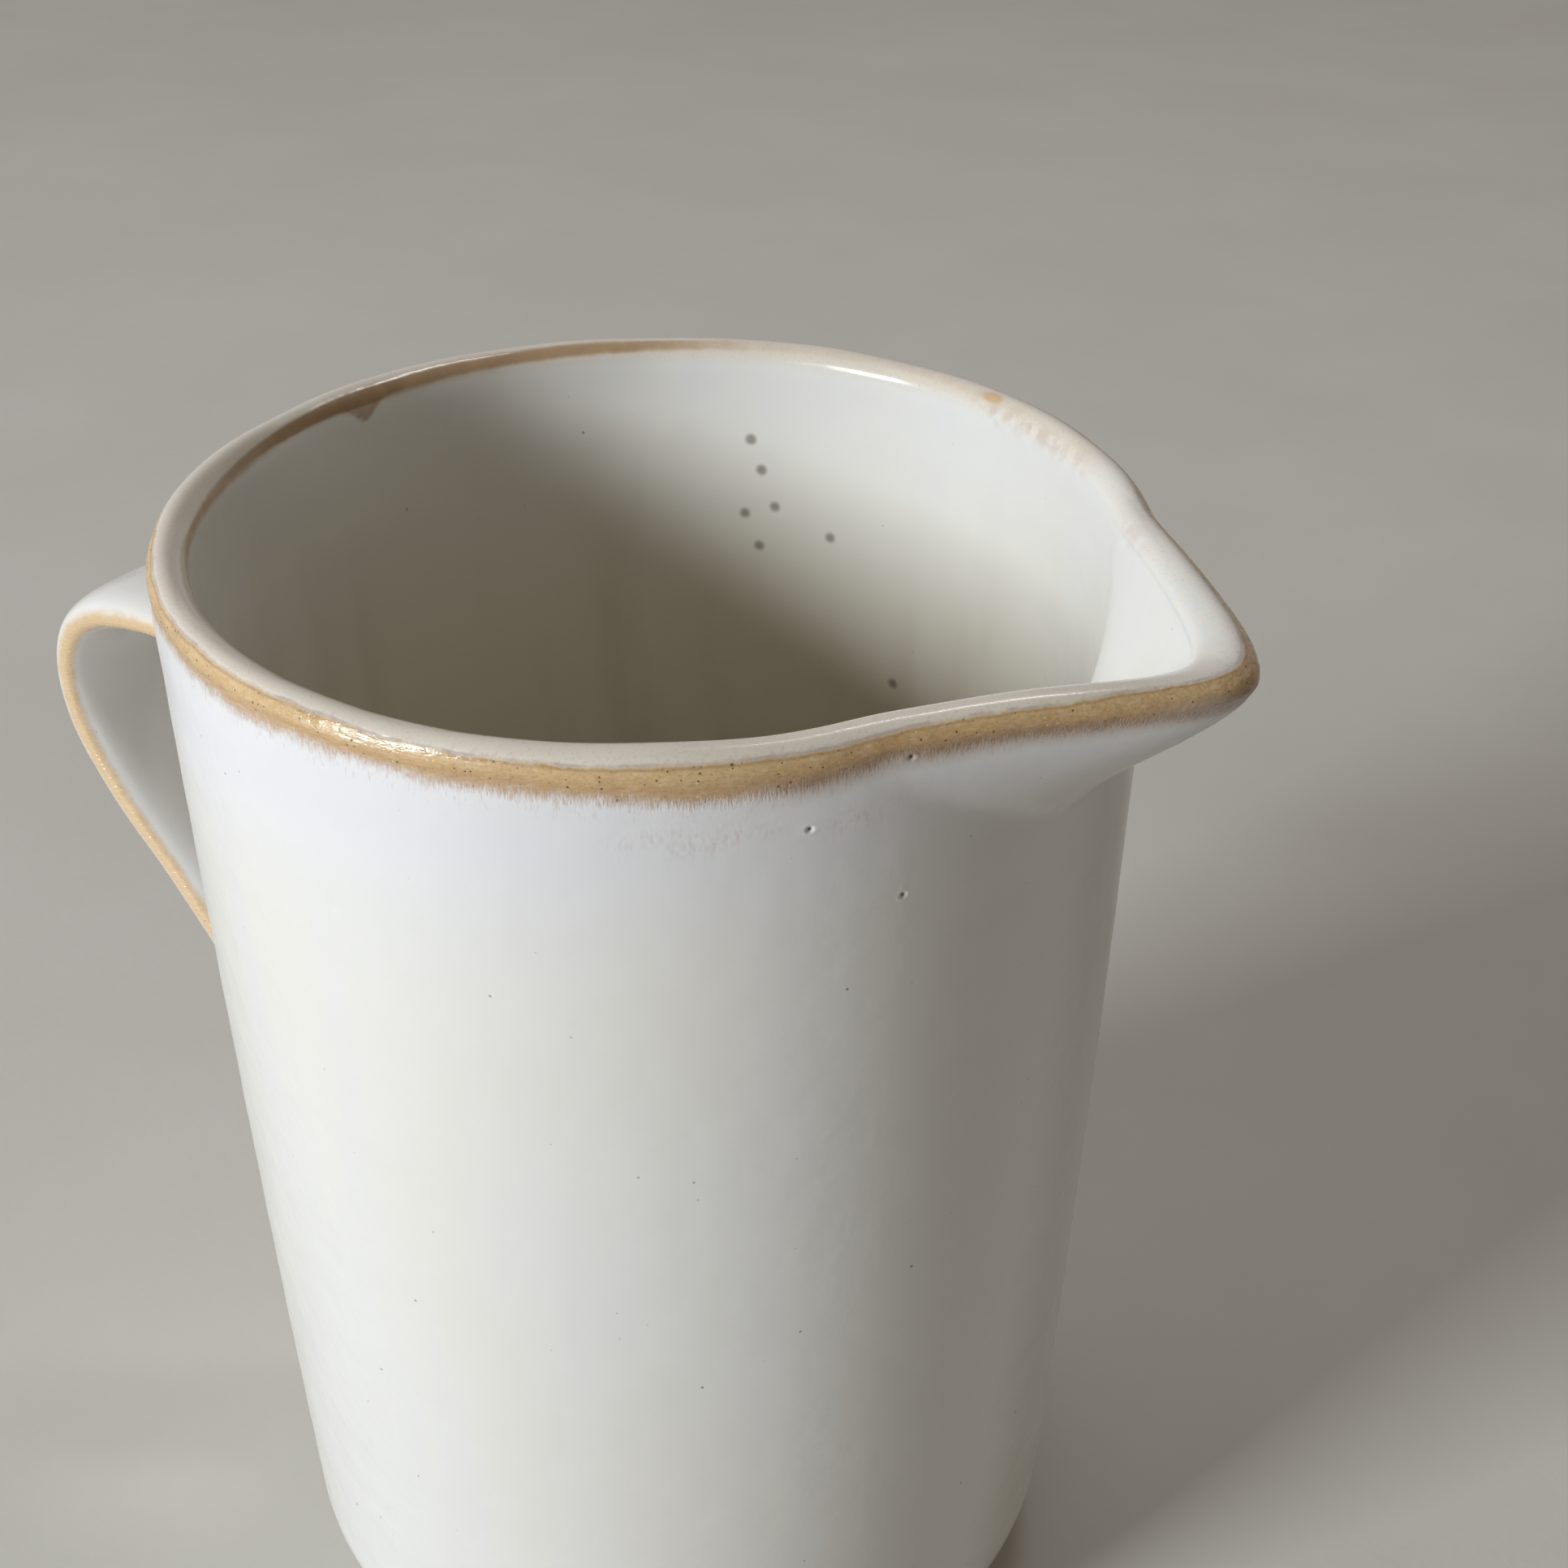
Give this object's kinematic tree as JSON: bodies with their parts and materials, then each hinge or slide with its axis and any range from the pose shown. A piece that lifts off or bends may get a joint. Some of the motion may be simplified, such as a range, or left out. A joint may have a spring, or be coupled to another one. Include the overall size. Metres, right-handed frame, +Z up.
{
  "type": "ceramic pitcher",
  "caption": "Glazed stoneware pitcher with a slightly tapered round body, a pulled pouring spout, a tan rim band and a strap handle.",
  "frame": {"origin": "centre of the foot's resting plane", "axes": "+Z up along the vessel's axis, +X towards the spout, handle towards -X, symmetric about the XZ plane"},
  "size_m": [0.156, 0.1, 0.141],
  "materials": {
    "bare_clay": "matte",
    "white_glaze": "satin gloss",
    "liner_glaze": "gloss",
    "tan_glaze": "gloss"
  },
  "bodies": {
    "root": {"vessel_clay": "bare_clay", "handle_strap": "bare_clay", "upper_joint_slip": "bare_clay", "lower_joint_slip": "bare_clay", "outer_glaze": "white_glaze", "liner_glaze": "liner_glaze", "rim_glaze": "tan_glaze", "handle_glaze": "white_glaze"}
  },
  "joints": []
}
